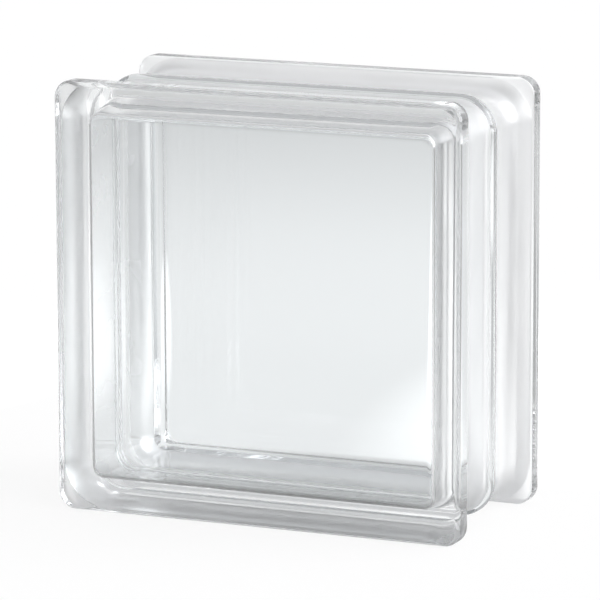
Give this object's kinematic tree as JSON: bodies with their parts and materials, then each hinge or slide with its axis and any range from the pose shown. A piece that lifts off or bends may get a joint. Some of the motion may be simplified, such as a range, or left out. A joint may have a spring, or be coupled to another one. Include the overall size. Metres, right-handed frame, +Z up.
{
  "type": "glass block",
  "caption": "Square hollow glass block with clear flat panes, rounded rims and a recessed mortar channel with a fused seam round its edges, for walls and windows that let light through.",
  "frame": {"origin": "centre of the block's bottom, midway between the panes, on the plane of the lower rims", "axes": "+Z up, -Y out of the front pane, +X to the right as seen from the front"},
  "size_m": [0.197, 0.098, 0.197],
  "materials": {
    "glass": "clear pressed glass, smooth and glossy on panes and rims, satin white in the mortar channel"
  },
  "bodies": {
    "root": {"glass_block": "glass"}
  },
  "joints": []
}
